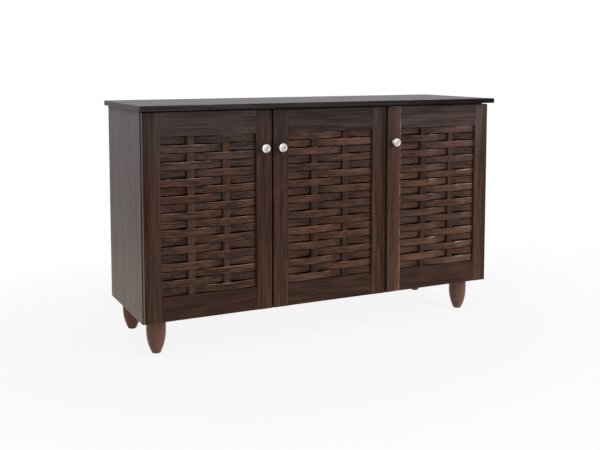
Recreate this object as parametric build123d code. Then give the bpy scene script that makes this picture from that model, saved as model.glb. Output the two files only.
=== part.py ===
from build123d import *
import os
from collections import namedtuple
from math import asin, degrees, sqrt

# Three-door shoe cabinet with woven door panels, on turned feet. Millimetres.
# The front faces -Y and +Z is up. The origin is on the floor, under the middle of the whole cabinet.

# Carcass
body_width = 1155.0
overall_height = 710.0
carcass_depth = 346.0
board = 15.0
housing_depth = 4.0
top_side_overhang = 12.5
top_front_overhang = 18.0
top_edge_round = 2.0
back_thickness = 3.0
back_inset = 8.0
back_groove_depth = 5.0
back_groove_slack = 0.3

# Shelves and the battens that carry them
shelves_per_bay = 3
shelf_setback = 30.0
shelf_end_gap = 1.0
shelf_back_gap = 2.0
batten_width = 12.0
batten_height = 18.0
batten_setback = 10.0

# Turned feet
foot_height = 100.0
foot_diameter = 56.0
foot_collar = 35.0
foot_tip_diameter = 24.0
foot_tip_round = 4.0
foot_side_inset = 52.5
foot_front_inset = 49.0
foot_back_inset = 40.0
foot_bolt_diameter = 8.0
foot_bolt_depth = 25.0
foot_bolt_wall = 4.0

# Doors
door_thickness = 18.0
door_standoff = 10.0
door_gap = 5.0
door_top_gap = 4.0
door_bottom_gap = 8.0
stile_width = 48.5
stile_round = 2.5
rail_height = 67.5
rail_setback = 1.5

# Woven panel of bent slats on two uprights
slat_count = 19
slat_gap = 2.6
slat_thickness = 3.5
slat_groove_depth = 6.0
slat_groove_play = 0.3
slat_bend_radius = 300.0
weave_setback = 10.5
upright_spacing = 106.0
upright_width = 22.0
upright_thickness = 6.0
upright_chamfer = 1.5
upright_tenon = 10.0
weave_gap = 0.7

# Concealed hinges: a cup with a pin in the door, a hooked arm on a plate in the carcass
hinge_inset = 90.0
hinge_pin_inset = 10.0
hinge_pin_diameter = 2.4
hinge_pin_seat = 3.0
cup_diameter = 32.0
cup_edge = 4.5
cup_front_wood = 5.0
cup_floor = 0.8
cup_side_gap = 0.4
flange_thickness = 1.0
flange_rim = 1.5
flange_wing_length = 58.0
flange_wing_width = 14.0
arm_eye_radius = 2.7
arm_eye_gap = 0.3
arm_leg_gap = 1.6
arm_thickness = 2.5
arm_width = 12.0
arm_bend_radius = 2.0
arm_reach = 58.0
plate_start = 6.0
plate_length = 48.0
plate_width = 16.0
plate_foot_width = 44.0
plate_foot_length = 20.0
plate_foot_thickness = 2.5
fit_gap = 0.05

# Knobs and door pads
knob_reach = 26.0
knob_head_diameter = 27.0
knob_dome_height = 7.0
knob_rim_height = 3.0
knob_neck_diameter = 11.0
knob_neck_length = 9.0
knob_foot_diameter = 17.0
knob_foot_height = 2.0
knob_drop = 110.0
pad_length = 14.0
pad_height = 5.0
pad_gap = 0.3
pad_inset = 30.0

# Planes shared by the pieces
front_reach = max(knob_reach, top_front_overhang)
y_back = (front_reach + door_thickness + door_standoff + carcass_depth) / 2
y_front = y_back - carcass_depth
y_door = y_front - door_standoff - door_thickness
y_back_panel = y_back - back_inset - back_thickness
z_floor = foot_height + board
z_ceiling = overall_height - board
x_outer = body_width / 2
x_inner = x_outer - board

# Door layout
door_width = (body_width - 2 * door_gap) / 3
door_bottom = foot_height + door_bottom_gap
door_top = z_ceiling - door_top_gap
weave_bottom = door_bottom + rail_height
weave_top = door_top - rail_height
weave_low = stile_width
weave_high = door_width - stile_width
weave_width = weave_high - weave_low
slat_pitch = (weave_top - weave_bottom) / slat_count
slat_spare = slat_groove_depth + slat_thickness
slat_end_run = (weave_width - upright_spacing) / 2 + slat_spare
upright_spots = [(door_width + side * upright_spacing) / 2 for side in (-1, 1)]
x_divider = (door_width + door_gap) / 2
hinge_heights = [door_bottom + hinge_inset, door_top - hinge_inset]

# Hinge layout in a door's own frame: u from the hinge edge, v from the door's front face
cup_u = cup_edge + cup_diameter / 2
pin_v = cup_front_wood + cup_floor + arm_eye_gap + arm_eye_radius
leg_u = hinge_pin_inset + door_thickness + flange_thickness - pin_v + arm_leg_gap
carcass_v = door_thickness + door_standoff
plate_v = carcass_v + plate_start + plate_length / 2

# A door hangs on a board whose inner face is wall_u from the door's hinge edge.
# behind_first tells that its top slat passes behind the upright next to the hinge stile.
Door = namedtuple("Door", "name hinge_x hinged_right wall_u behind_first")
doors = [
    Door("left_door", -x_outer, False, board, True),
    Door("middle_door", door_width / 2, True, (board - door_gap) / 2, True),
    Door("right_door", x_outer, True, board, False),
]


def block(x_low, x_high, y_low, y_high, z_low, z_high):
    """Square-edged board between two opposite corners."""
    size = (x_high - x_low, y_high - y_low, z_high - z_low)
    return Pos(x_low, y_low, z_low) * Box(*size, align=(Align.MIN, Align.MIN, Align.MIN))


def rod(start, direction, length, diameter):
    """Round bar that runs from a start point along a direction."""
    return extrude(Plane(origin=start, z_dir=direction) * Circle(diameter / 2), length)


def hung(shape, door):
    """Carry a shape from a door's own frame to its place on the cabinet."""
    turned = mirror(shape, Plane.YZ) if door.hinged_right else shape
    return Pos(door.hinge_x, y_door, 0) * turned


# Boards of the carcass


def side_panel(side):
    """Side board, from the underside of the carcass into a housing in the top."""
    x_low, x_high = sorted((side * x_inner, side * x_outer))
    return block(x_low, x_high, y_front, y_back, foot_height, z_ceiling + housing_depth)


def bottom_panel():
    """Bottom board, housed in both sides."""
    half = x_inner + housing_depth
    return block(-half, half, y_front, y_back, foot_height, z_floor)


def divider_panel():
    """Upright board between the two bays, housed in the bottom and the top."""
    half = board / 2
    z_low = z_floor - housing_depth
    return block(x_divider - half, x_divider + half, y_front, y_back_panel, z_low, z_ceiling + housing_depth)


def back_panel():
    """Thin back that stands in grooves of the sides, the bottom and the top."""
    half = x_inner + back_groove_depth - back_groove_slack
    z_low = z_floor - back_groove_depth
    z_high = z_ceiling + back_groove_depth - back_groove_slack
    return block(-half, half, y_back_panel, y_back_panel + back_thickness, z_low, z_high)


def back_groove():
    """Space that the back panel takes in the boards around it."""
    half = x_inner + back_groove_depth
    z_low = z_floor - back_groove_depth
    z_high = z_ceiling + back_groove_depth
    y_high = y_back_panel + back_thickness + back_groove_slack
    return block(-half, half, y_back_panel, y_high, z_low, z_high)


def top_panel():
    """Top board with softened edges on its front and its two ends."""
    half = x_outer + top_side_overhang
    slab = block(-half, half, y_door - top_front_overhang, y_back, z_ceiling, overall_height)
    level = [edge for edge in slab.edges() if abs(edge.center().Z - slab.center().Z) > board / 4]
    rounded = [edge for edge in level if edge.center().Y < y_back - top_edge_round]
    return fillet(rounded, top_edge_round)


# Shelves


def shelf_levels():
    """Height of each shelf's underside: the shelves share the bay evenly."""
    room = z_ceiling - z_floor - shelves_per_bay * board
    space = room / (shelves_per_bay + 1)
    return [z_floor + space + level * (space + board) for level in range(shelves_per_bay)]


def bays():
    """Name and inner walls of the wide bay and the narrow bay."""
    half = board / 2
    return [("left_bay", -x_inner, x_divider - half), ("right_bay", x_divider + half, x_inner)]


def shelf(x_low, x_high, level):
    """Loose shelf board between two walls."""
    y_low = y_front + shelf_setback
    y_high = y_back_panel - shelf_back_gap
    return block(x_low + shelf_end_gap, x_high - shelf_end_gap, y_low, y_high, level, level + board)


def shelf_batten(wall_x, inward, level):
    """Batten on a wall under one end of a shelf, its lower front corner cut away."""
    y_low = y_front + shelf_setback + batten_setback
    y_high = y_back_panel - shelf_back_gap
    x_low, x_high = sorted((wall_x, wall_x + inward * batten_width))
    strip = block(x_low, x_high, y_low, y_high, level - batten_height, level)
    corner = strip.edges().filter_by(Axis.X).group_by(Axis.Y)[0].sort_by(Axis.Z)[0]
    return chamfer(corner, batten_height / 2)


def shelf_battens():
    """Two battens under every shelf."""
    battens = []
    for _, x_low, x_high in bays():
        for level in shelf_levels():
            battens.append(shelf_batten(x_low, 1, level))
            battens.append(shelf_batten(x_high, -1, level))
    return battens


# Feet


def foot_spots():
    """Centre of each foot."""
    x = x_outer - foot_side_inset
    y_spots = (y_front + foot_front_inset, y_back - foot_back_inset)
    return [(side * x, y) for y in y_spots for side in (-1, 1)]


def foot():
    """Turned foot: a straight collar that runs into a rounded, bullet-shaped nose."""
    radius = foot_diameter / 2
    shoulder = foot_height - foot_collar
    narrowing = radius - foot_tip_diameter / 2
    nose_radius = (shoulder**2 + narrowing**2) / (2 * narrowing)
    nose = CenterArc((radius - nose_radius, shoulder), nose_radius, 0, -degrees(asin(shoulder / nose_radius)))
    rest = Polyline(nose @ 1, (0, 0), (0, foot_height), (radius, foot_height), nose @ 0)
    profile = make_face(nose + rest)
    tip = profile.vertices().group_by(Axis.Y)[0].sort_by(Axis.X)[-1]
    return revolve(Plane.XZ * fillet(tip, foot_tip_round), Axis.Z)


def foot_bolt(x, y, gap):
    """Hanger bolt from the foot up into the bottom board."""
    length = foot_bolt_depth + board - foot_bolt_wall + gap
    start = (x, y, foot_height - foot_bolt_depth)
    return rod(start, (0, 0, 1), length, foot_bolt_diameter + 2 * gap)


# Hinges, in a door's own frame


def hinge_arm(z):
    """Hooked arm: an eye on the pin, a bar inside the cup and a leg back along the wall."""
    leg = leg_u + arm_thickness / 2
    corners = [(hinge_pin_inset, pin_v), (leg, pin_v), (leg, carcass_v + arm_reach)]
    strip = trace(FilletPolyline(*corners, radius=arm_bend_radius), arm_thickness)
    eye = Pos(hinge_pin_inset, pin_v) * Circle(arm_eye_radius)
    bore = Pos(hinge_pin_inset, pin_v) * Circle(hinge_pin_diameter / 2 + fit_gap)
    return Pos(0, 0, z) * extrude(strip + eye - bore, arm_width / 2, both=True)


def hinge_plate(z, wall_u):
    """Mounting plate: a raised bed under the arm on a broad foot against the wall."""
    wall = Plane(origin=(wall_u, plate_v, z), x_dir=(0, 1, 0), z_dir=(1, 0, 0))
    bed = extrude(wall * Rectangle(plate_length, plate_width), leg_u - wall_u)
    return bed + extrude(wall * Rectangle(plate_foot_length, plate_foot_width), plate_foot_thickness)


def hinge_pin(z):
    """Pin across the cup's pocket, seated in the cup on both sides of the arm's eye."""
    half = arm_width / 2 + cup_side_gap + hinge_pin_seat
    return rod((hinge_pin_inset, pin_v, z - half), (0, 0, 1), 2 * half, hinge_pin_diameter)


def hinge_cup(z):
    """Round cup pressed into the door, with a winged flange and a pocket that the arm swings in."""
    depth = door_thickness - cup_front_wood
    body = rod((cup_u, cup_front_wood, z), (0, 1, 0), depth, cup_diameter)
    back = Plane(origin=(cup_u, door_thickness, z), x_dir=(1, 0, 0), z_dir=(0, 1, 0))
    outline = Circle(cup_diameter / 2 + flange_rim) + Rectangle(flange_wing_width, flange_wing_length)
    flange = extrude(back * outline, flange_thickness)
    half = arm_width / 2 + cup_side_gap
    u_low = hinge_pin_inset - arm_eye_radius - arm_eye_gap
    u_high = leg_u + arm_thickness + arm_leg_gap
    v_high = door_thickness + flange_thickness
    pocket = block(u_low, u_high, cup_front_wood + cup_floor, v_high, z - half, z + half)
    return body + flange - pocket - hinge_pin(z)


# Door frame and woven panel, in a door's own frame


def bend_offset():
    """Offset of a slat's bend corner, so that the rounded bend just clears the upright.

    The bend stands inside its corner by about radius * (turn / 2)**2 / 2, and the half turn grows with
    the offset as offset * lean, so the wanted clearance gives a quadratic.
    """
    crest = (upright_thickness + slat_thickness) / 2 + weave_gap
    lean = (1 / slat_end_run + 2 / upright_spacing) / 2
    stiff = slat_bend_radius * lean**2
    return (1 - sqrt(1 - 2 * stiff * crest)) / stiff


def groove_half():
    """Half the width of the groove that lets a slat's end lean to either side."""
    lean = bend_offset() / slat_end_run
    return slat_thickness / 2 + lean * slat_spare + slat_groove_play


def stile():
    """Upright of the frame: softened front edges, and a groove for slats and rails in its inner edge."""
    section = Pos(stile_width / 2, door_thickness / 2) * Rectangle(stile_width, door_thickness)
    section = fillet(section.vertices().group_by(Axis.Y)[0], stile_round)
    section -= Pos(stile_width, weave_setback) * Rectangle(2 * slat_groove_depth, 2 * groove_half())
    return Pos(0, 0, door_bottom) * extrude(section, door_top - door_bottom)


def hinge_stile():
    """Stile bored for the hinge cups."""
    post = stile()
    for z in hinge_heights:
        post -= rod((cup_u, cup_front_wood, z), (0, 1, 0), door_thickness, cup_diameter)
    return post


def knob_stile():
    """Stile on the closing edge."""
    return Pos(door_width, 0, 0) * mirror(stile(), Plane.YZ)


def rail(z_low, weave_edge):
    """Cross rail: tongues fill the stiles' grooves, mortises in the weave edge take the uprights."""
    z_high = z_low + rail_height
    bar = block(weave_low, weave_high, rail_setback, door_thickness, z_low, z_high)
    reach = slat_groove_depth
    tongue = (weave_setback - groove_half(), weave_setback + groove_half())
    bar += block(weave_low - reach, weave_high + reach, *tongue, z_low, z_high)
    for spot in upright_spots:
        bar -= Pos(0, 0, weave_edge - upright_tenon) * extrude(upright_section(spot), 2 * upright_tenon)
    return bar


def upright_section(spot):
    """Flat upright with its corners taken off, seen from above."""
    flat = Rectangle(upright_width, upright_thickness)
    return Pos(spot, weave_setback) * chamfer(flat.vertices(), upright_chamfer)


def uprights():
    """Two uprights from rail to rail."""
    height = weave_top - weave_bottom + 2 * upright_tenon
    low = weave_bottom - upright_tenon
    return [Pos(0, 0, low) * extrude(upright_section(spot), height) for spot in upright_spots]


def slat(behind_first):
    """Bent slat: from one stile's groove past opposite sides of the two uprights into the other groove."""
    swing = bend_offset() if behind_first else -bend_offset()
    path = [
        (weave_low - slat_spare, weave_setback),
        (upright_spots[0], weave_setback + swing),
        (upright_spots[1], weave_setback - swing),
        (weave_high + slat_spare, weave_setback),
    ]
    strip = trace(FilletPolyline(*path, radius=slat_bend_radius), slat_thickness)
    waste = Rectangle(2 * door_thickness, 2 * door_thickness)
    trim = slat_groove_depth + door_thickness
    for middle in (weave_low - trim, weave_high + trim):
        strip -= Pos(middle, weave_setback) * waste
    return extrude(strip, slat_pitch - slat_gap)


def slats(behind_first):
    """Stack of slats, each woven the opposite way to the one above it."""
    bent = {way: slat(way) for way in (True, False)}
    stack = []
    for row in range(slat_count):
        z = weave_top - (row + 1) * slat_pitch + slat_gap / 2
        way = behind_first if row % 2 == 0 else not behind_first
        stack.append(Pos(0, 0, z) * bent[way])
    return stack


def knob():
    """Turned mushroom knob on a straight neck, with a domed head."""
    head = knob_head_diameter / 2
    neck = knob_neck_diameter / 2
    foot_radius = knob_foot_diameter / 2
    rim = knob_reach - knob_dome_height
    neck_end = knob_foot_height + knob_neck_length
    edge = Polyline(
        (0, 0),
        (foot_radius, 0),
        (foot_radius, -knob_foot_height),
        (neck, -knob_foot_height),
        (neck, -neck_end),
        (head, knob_rim_height - rim),
        (head, -rim),
    )
    dome_radius = (head**2 + knob_dome_height**2) / (2 * knob_dome_height)
    dome = CenterArc((0, dome_radius - knob_reach), dome_radius, -90, degrees(asin(head / dome_radius)))
    turned = revolve(make_face(edge + dome + Line((0, -knob_reach), (0, 0))), Axis.Y)
    return Pos(door_width - stile_width / 2, 0, door_top - knob_drop) * turned


def door_pads():
    """Felt pads on the bottom board's front edge, behind each door's closing edge."""
    z_middle = (door_bottom + z_floor) / 2
    z_low = z_middle - pad_height / 2
    u_low = door_width - pad_inset - pad_length
    v_low = carcass_v - door_standoff + pad_gap
    pad = block(u_low, u_low + pad_length, v_low, carcass_v, z_low, z_low + pad_height)
    return [hung(pad, door) for door in doors]


# Assembly


def carcass():
    """Every node of the standing cabinet."""
    sides = [side_panel(-1), side_panel(1)]
    bottom = bottom_panel()
    divider = divider_panel()
    groove = back_groove()
    bolt_holes = [foot_bolt(x, y, fit_gap) for x, y in foot_spots()]
    nodes = {
        "top_panel": top_panel() - [*sides, divider, groove],
        "left_side_panel": sides[0] - [bottom, groove],
        "right_side_panel": sides[1] - [bottom, groove],
        "divider_panel": divider,
        "bottom_panel": bottom - [divider, groove, *bolt_holes],
        "back_panel": back_panel(),
    }
    for bay, x_low, x_high in bays():
        for number, level in enumerate(shelf_levels(), start=1):
            nodes[f"{bay}_shelf_{number}"] = shelf(x_low, x_high, level)
    turned = foot()
    hinges = [(door, z) for door in doors for z in hinge_heights]
    nodes["shelf_battens"] = shelf_battens()
    nodes["feet"] = [Pos(x, y, 0) * turned - foot_bolt(x, y, fit_gap) for x, y in foot_spots()]
    nodes["foot_bolts"] = [foot_bolt(x, y, 0) for x, y in foot_spots()]
    nodes["hinge_arms"] = [hung(hinge_arm(z), door) for door, z in hinges]
    nodes["hinge_plates"] = [hung(hinge_plate(z, door.wall_u), door) for door, z in hinges]
    nodes["door_pads"] = door_pads()
    return nodes


def door_nodes(door):
    """Every node of one door, hung in its place."""
    pieces = {
        "hinge_stile": [hinge_stile()],
        "knob_stile": [knob_stile()],
        "top_rail": [rail(weave_top, weave_top)],
        "bottom_rail": [rail(door_bottom, weave_bottom)],
        "uprights": uprights(),
        "slats": slats(door.behind_first),
        "hinge_cups": [hinge_cup(z) for z in hinge_heights],
        "hinge_pins": [hinge_pin(z) for z in hinge_heights],
        "knob": [knob()],
    }
    return {f"{door.name}_{name}": [hung(shape, door) for shape in shapes] for name, shapes in pieces.items()}


def write(nodes):
    """Write each node to its own file, a repeated piece as separate solids in one file."""
    os.makedirs("parts", exist_ok=True)
    for name, shape in nodes.items():
        pieces = shape if isinstance(shape, list) else [shape]
        solids = [solid for piece in pieces for solid in piece.solids()]
        export_step(Compound(solids, label=name), f"parts/{name}.step")


cabinet = carcass()
for each_door in doors:
    cabinet.update(door_nodes(each_door))
write(cabinet)
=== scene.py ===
"""Looks of a three-door shoe cabinet with woven doors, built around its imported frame."""

import logging
import math
from dataclasses import dataclass, replace
from enum import Enum
from typing import Any

import bpy
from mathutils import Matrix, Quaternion, Vector


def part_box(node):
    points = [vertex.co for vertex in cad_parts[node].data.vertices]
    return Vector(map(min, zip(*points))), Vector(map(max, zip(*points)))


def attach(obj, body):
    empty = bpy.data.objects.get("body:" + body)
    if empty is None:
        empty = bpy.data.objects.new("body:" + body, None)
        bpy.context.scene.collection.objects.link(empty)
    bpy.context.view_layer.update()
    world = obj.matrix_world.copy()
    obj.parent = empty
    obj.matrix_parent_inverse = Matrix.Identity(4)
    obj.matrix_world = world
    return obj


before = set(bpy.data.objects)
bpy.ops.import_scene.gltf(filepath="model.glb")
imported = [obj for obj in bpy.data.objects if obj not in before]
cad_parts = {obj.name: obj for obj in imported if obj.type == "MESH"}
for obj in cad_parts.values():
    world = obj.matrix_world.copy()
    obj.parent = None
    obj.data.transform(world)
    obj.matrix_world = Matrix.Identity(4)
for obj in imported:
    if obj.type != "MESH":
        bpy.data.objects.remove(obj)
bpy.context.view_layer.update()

LOG = logging.getLogger("shoe_cabinet")
Colour = tuple[float, float, float]
Place = tuple[float, float, float]
Span = tuple[float, float]

MM = 0.001
WHITE: Colour = (1.0, 1.0, 1.0)
RISE: Span = (0.0, 1.0)
FALL: Span = (1.0, 0.0)
MIDDLE = 0.5


class GrainAxis(Enum):
    """Turn, in degrees, that brings the way a board's grain runs onto local X."""

    ACROSS = (0.0, 0.0, 0.0)
    DEPTH = (0.0, 0.0, -90.0)
    UPRIGHT = (0.0, 90.0, 0.0)

    def turn(self) -> Place:
        """Returns the turn in radians."""
        return tuple(math.radians(angle) for angle in self.value)


class Side(Enum):
    """An edge of a board or a door, as its sign along X."""

    LEFT = -1
    RIGHT = 1


# Node building


@dataclass(frozen=True)
class Noise:
    """Noise: its features per metre along each axis, its octaves and the weight of the finer ones."""

    scale: Place
    detail: float = 2.0
    rough: float = 0.5


def rgba(colour: Any) -> Any:
    """Returns a colour with full alpha, or the socket that brings one, as it is."""
    return (*colour, 1.0) if isinstance(colour, tuple) else colour


class Graph:
    """Adds nodes to a node tree and joins them."""

    def __init__(self, tree: bpy.types.NodeTree) -> None:
        """Takes over a tree and clears it.

        Args:
            tree: the node tree of a material, a world or a group.
        """
        self.tree = tree
        tree.nodes.clear()

    def add(self, kind: str, inputs: dict[Any, Any] | None = None, **settings: Any) -> bpy.types.Node:
        """Adds one node.

        Args:
            kind: the node's type name.
            inputs: socket name or number to a value, or to the socket that feeds it.
            settings: properties of the node itself.

        Returns:
            The new node.
        """
        node = self.tree.nodes.new(kind)
        for name, value in settings.items():
            setattr(node, name, value)
        self.join(node, inputs or {})
        return node

    def join(self, node: bpy.types.Node, inputs: dict[Any, Any]) -> None:
        """Sets a node's inputs.

        Args:
            node: the node.
            inputs: socket name or number to a value, or to the socket that feeds it.
        """
        for key, value in inputs.items():
            if isinstance(value, bpy.types.NodeSocket):
                self.tree.links.new(value, node.inputs[key])
            else:
                node.inputs[key].default_value = value

    def group(self, name: str, inputs: dict[str, Any]) -> Any:
        """Places a node group and returns its outputs."""
        return self.add("ShaderNodeGroup", inputs, node_tree=bpy.data.node_groups[name]).outputs

    def close(self, results: dict[str, Any]) -> bpy.types.NodeTree:
        """Ends a group with its results and returns the group."""
        self.add("NodeGroupOutput", results)
        return self.tree

    def math(self, operation: str, *values: Any) -> bpy.types.NodeSocket:
        """Returns the result of a Math node on numbers or sockets."""
        return self.add("ShaderNodeMath", dict(enumerate(values)), operation=operation).outputs[0]

    def vector(self, operation: str, *values: Any) -> bpy.types.NodeSocket:
        """Returns the vector that a Vector Math node makes of vectors or sockets."""
        return self.add("ShaderNodeVectorMath", dict(enumerate(values)), operation=operation).outputs[0]

    def measure(self, operation: str, *values: Any) -> bpy.types.NodeSocket:
        """Returns the number that a Vector Math node makes of vectors or sockets."""
        return self.add("ShaderNodeVectorMath", dict(enumerate(values)), operation=operation).outputs["Value"]

    def split(self, vector: Any) -> Any:
        """Returns the three parts of a vector."""
        return self.add("ShaderNodeSeparateXYZ", {0: vector}).outputs

    def ramp(self, value: Any, span: Span, result: Span = RISE) -> bpy.types.NodeSocket:
        """Carries a value smoothly from one span to another.

        Args:
            value: the socket to carry.
            span: where the change begins and ends.
            result: what comes out at both.

        Returns:
            The carried value.
        """
        sockets = {"Value": value, "From Min": span[0], "From Max": span[1]}
        sockets |= {"To Min": result[0], "To Max": result[1]}
        return self.add("ShaderNodeMapRange", sockets, interpolation_type="SMOOTHSTEP").outputs[0]

    def swing(self, value: Any, reach: float) -> bpy.types.NodeSocket:
        """Returns noise that swings about zero, by its reach."""
        return self.math("MULTIPLY", self.math("SUBTRACT", value, MIDDLE), reach)

    def mix(self, factor: Any, first: Any, second: Any, blend: str = "MIX") -> bpy.types.NodeSocket:
        """Returns a colour mixed from two colours."""
        sockets = {0: factor, 6: rgba(first), 7: rgba(second)}
        return self.add("ShaderNodeMix", sockets, data_type="RGBA", blend_type=blend).outputs[2]

    def tint(self, colour: Any, tint: Any, share: Any = 1.0) -> bpy.types.NodeSocket:
        """Returns a colour multiplied by a tint over a share of the surface."""
        return self.mix(share, colour, tint, "MULTIPLY")

    def noise(self, vector: Any, pattern: Noise) -> bpy.types.NodeSocket:
        """Adds noise.

        Args:
            vector: coordinates in metres.
            pattern: the noise's scale and octaves.

        Returns:
            The noise, from 0 to 1.
        """
        stretched = self.vector("MULTIPLY", vector, pattern.scale)
        sockets = {"Vector": stretched, "Scale": 1.0, "Detail": pattern.detail, "Roughness": pattern.rough}
        return self.add("ShaderNodeTexNoise", sockets).outputs["Fac"]

    def bump(self, height: Any, strength: float, depth: float) -> bpy.types.NodeSocket:
        """Returns a normal that follows a height."""
        sockets = {"Height": height, "Strength": strength, "Distance": depth}
        return self.add("ShaderNodeBump", sockets).outputs[0]


def new_group(name: str, takes: dict[str, str], gives: dict[str, str]) -> tuple[Graph, Any]:
    """Starts a shader node group.

    Args:
        name: the group's name.
        takes: input name to kind: Float, Vector or Color.
        gives: output name to kind.

    Returns:
        The group's graph and the sockets that bring its inputs in.
    """
    tree = bpy.data.node_groups.new(name, "ShaderNodeTree")
    graph = Graph(tree)
    for way, sockets in (("INPUT", takes), ("OUTPUT", gives)):
        for socket, kind in sockets.items():
            tree.interface.new_socket(name=socket, in_out=way, socket_type=f"NodeSocket{kind}")
    return graph, graph.add("NodeGroupInput").outputs


@dataclass(frozen=True)
class WoodGrain:
    """Wood grain that runs along X: streaks, fibres, broad bands, flame figure and pores."""

    sway: Noise = Noise((2.6, 16.0, 16.0))
    sway_reach: float = 10.0 * MM
    streaks: Noise = Noise((6.0, 220.0, 220.0), 4.0, 0.70)
    streak_reach: float = 1.9
    fibres: Noise = Noise((9.0, 720.0, 720.0), 2.0, 0.6)
    fibre_reach: float = 0.9
    bands: Noise = Noise((1.4, 34.0, 34.0), 3.0, 0.55)
    band_reach: float = 0.6
    flames: Noise = Noise((1.1, 9.0, 9.0), 1.0)
    flame_turns: float = 70.0
    flame_reach: float = 0.3
    pore_span: Span = (0.60, 0.74)
    pore_shade: Colour = (0.55, 0.52, 0.50)
    tone_height: float = 0.5
    pore_depth: float = 0.6

    def build(self) -> bpy.types.NodeTree:
        """Makes the group.

        Returns:
            The group, which gives the grain's colour, tone and height.
        """
        takes = {"Vector": "Vector", "Dark": "Color", "Light": "Color"}
        takes |= {"Figure": "Float", "Contrast": "Float", "Bias": "Float"}
        graph, given = new_group("wood_grain", takes, {"Color": "Color", "Tone": "Float", "Height": "Float"})
        sway = graph.swing(graph.noise(given["Vector"], self.sway), self.sway_reach)
        shift = graph.add("ShaderNodeCombineXYZ", {"Y": sway, "Z": sway}).outputs[0]
        bent = graph.vector("ADD", given["Vector"], shift)
        fibres = graph.noise(bent, self.fibres)
        rings = graph.math("SINE", graph.math("MULTIPLY", graph.noise(bent, self.flames), self.flame_turns))
        rings = graph.math("MULTIPLY", rings, graph.math("MULTIPLY", given["Figure"], self.flame_reach))
        tone = graph.swing(graph.noise(bent, self.streaks), self.streak_reach)
        tone = graph.math("ADD", tone, graph.swing(graph.noise(bent, self.bands), self.band_reach))
        tone = graph.math("ADD", tone, graph.swing(fibres, self.fibre_reach))
        tone = graph.math("MULTIPLY", graph.math("ADD", tone, rings), given["Contrast"])
        tone = graph.math("ADD", graph.math("ADD", tone, MIDDLE), given["Bias"])
        tone = graph.ramp(tone, RISE)
        pores = graph.ramp(fibres, self.pore_span)
        colour = graph.mix(tone, given["Dark"], given["Light"])
        colour = graph.tint(colour, self.pore_shade, pores)
        height = graph.math("MULTIPLY", tone, self.tone_height)
        height = graph.math("SUBTRACT", height, graph.math("MULTIPLY", pores, self.pore_depth))
        return graph.close({"Color": colour, "Tone": tone, "Height": height})


@dataclass(frozen=True)
class EdgeWearAndHighlight:
    """Masks of a board between two corners: its edges, lightened for wear and painted highlight, its front
    face and its two ends.
    """

    patches: Noise = Noise((55.0, 55.0, 55.0), 3.0, 0.6)
    patch_span: Span = (0.35, 0.7)
    patch_width: Span = (0.35, 1.4)
    front_depth: Span = (1.4 * MM, 2.2 * MM)
    end_depth: Span = (0.5 * MM, 1.3 * MM)

    def build(self) -> bpy.types.NodeTree:
        """Makes the group.

        Returns:
            The group, which gives the three masks.
        """
        takes = {"Vector": "Vector", "Low": "Vector", "High": "Vector", "Width": "Float"}
        graph, given = new_group("edge_wear_and_highlight", takes, {"WearAndHighlight": "Float", "Front": "Float", "Ends": "Float"})
        from_low = graph.vector("SUBTRACT", given["Vector"], given["Low"])
        from_high = graph.vector("SUBTRACT", given["High"], given["Vector"])
        x, y, z = graph.split(graph.vector("MINIMUM", from_low, from_high))
        inner = graph.math("MINIMUM", graph.math("MAXIMUM", x, y), z)
        second = graph.math("MAXIMUM", graph.math("MINIMUM", x, y), inner)
        patchy = graph.ramp(graph.noise(given["Vector"], self.patches), self.patch_span, self.patch_width)
        width = graph.math("MULTIPLY", given["Width"], patchy)
        wear_and_highlight = graph.ramp(graph.math("DIVIDE", second, width), RISE, FALL)
        front = graph.ramp(graph.split(from_low)[1], self.front_depth, FALL)
        ends = graph.ramp(x, self.end_depth, FALL)
        return graph.close({"WearAndHighlight": wear_and_highlight, "Front": front, "Ends": ends})


@dataclass(frozen=True)
class SlatRows:
    """A tone, a hue and a grain shift for each row of a stack of slats, and the row's top edge, where a
    highlight is painted.
    """

    grain_shift: Place = (3.0, 1.0, 1.0)
    crest_span: Span = (0.84, 0.91)

    def build(self) -> bpy.types.NodeTree:
        """Makes the group.

        Returns:
            The group, which gives each row's shifted coordinates, tone, hue and top edge.
        """
        takes = {"Vector": "Vector", "Low": "Float", "Pitch": "Float", "First": "Float"}
        gives = {"Vector": "Vector", "Tone": "Float", "Hue": "Float", "Crest": "Float"}
        graph, given = new_group("slat_rows", takes, gives)
        height = graph.math("SUBTRACT", graph.split(given["Vector"])[2], given["Low"])
        rows = graph.math("DIVIDE", height, given["Pitch"])
        number = graph.math("ADD", graph.math("FLOOR", rows), given["First"])
        chance = graph.add("ShaderNodeTexWhiteNoise", {"W": number}, noise_dimensions="1D").outputs
        shift = graph.vector("MULTIPLY", chance["Color"], self.grain_shift)
        moved = graph.vector("ADD", given["Vector"], shift)
        hue = graph.add("ShaderNodeSeparateColor", {0: chance["Color"]}).outputs[2]
        crest = graph.ramp(graph.math("FRACT", rows), self.crest_span)
        return graph.close({"Vector": moved, "Tone": chance["Value"], "Hue": hue, "Crest": crest})


@dataclass(frozen=True)
class TurnedMetal:
    """Fine rings that a lathe leaves round an axis along Y, and faint smears."""

    across_axis: Place = (1.0, 0.0, 1.0)
    rings: Noise = Noise((4200.0, 1.0, 1.0))
    smears: Noise = Noise((160.0, 160.0, 160.0), 3.0, 0.6)

    def build(self) -> bpy.types.NodeTree:
        """Makes the group.

        Returns:
            The group, which gives the rings and the smears.
        """
        takes = {"Vector": "Vector", "Centre": "Vector"}
        graph, given = new_group("turned_metal", takes, {"Rings": "Float", "Smear": "Float"})
        place = graph.vector("SUBTRACT", given["Vector"], given["Centre"])
        radius = graph.measure("LENGTH", graph.vector("MULTIPLY", place, self.across_axis))
        line = graph.add("ShaderNodeCombineXYZ", {"X": radius}).outputs[0]
        rings = graph.noise(line, self.rings)
        return graph.close({"Rings": rings, "Smear": graph.noise(given["Vector"], self.smears)})


# Finishes


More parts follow.
